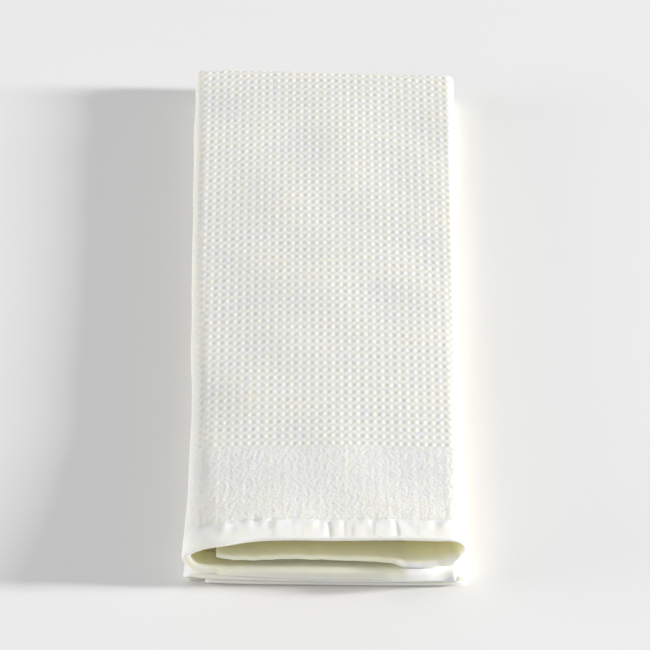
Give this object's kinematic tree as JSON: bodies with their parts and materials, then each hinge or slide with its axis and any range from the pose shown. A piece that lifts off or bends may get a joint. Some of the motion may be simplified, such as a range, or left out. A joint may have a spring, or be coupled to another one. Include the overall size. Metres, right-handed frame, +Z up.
{
  "type": "folded hand towel",
  "caption": "Hemmed waffle-weave cotton hand towel, folded in thirds along its length and then in half, lying flat with its hemmed ends open at the front.",
  "frame": {"origin": "middle of the folded towel's footprint, on the surface it lies on", "axes": "+X to the right seen from the open hemmed ends, +Y towards the back fold, +Z up"},
  "size_m": [0.1548, 0.3892, 0.0362],
  "materials": {
    "waffle_cotton": "ivory waffle-weave cotton, soft and matt"
  },
  "bodies": {
    "root": {"towel": "waffle_cotton"}
  },
  "joints": []
}
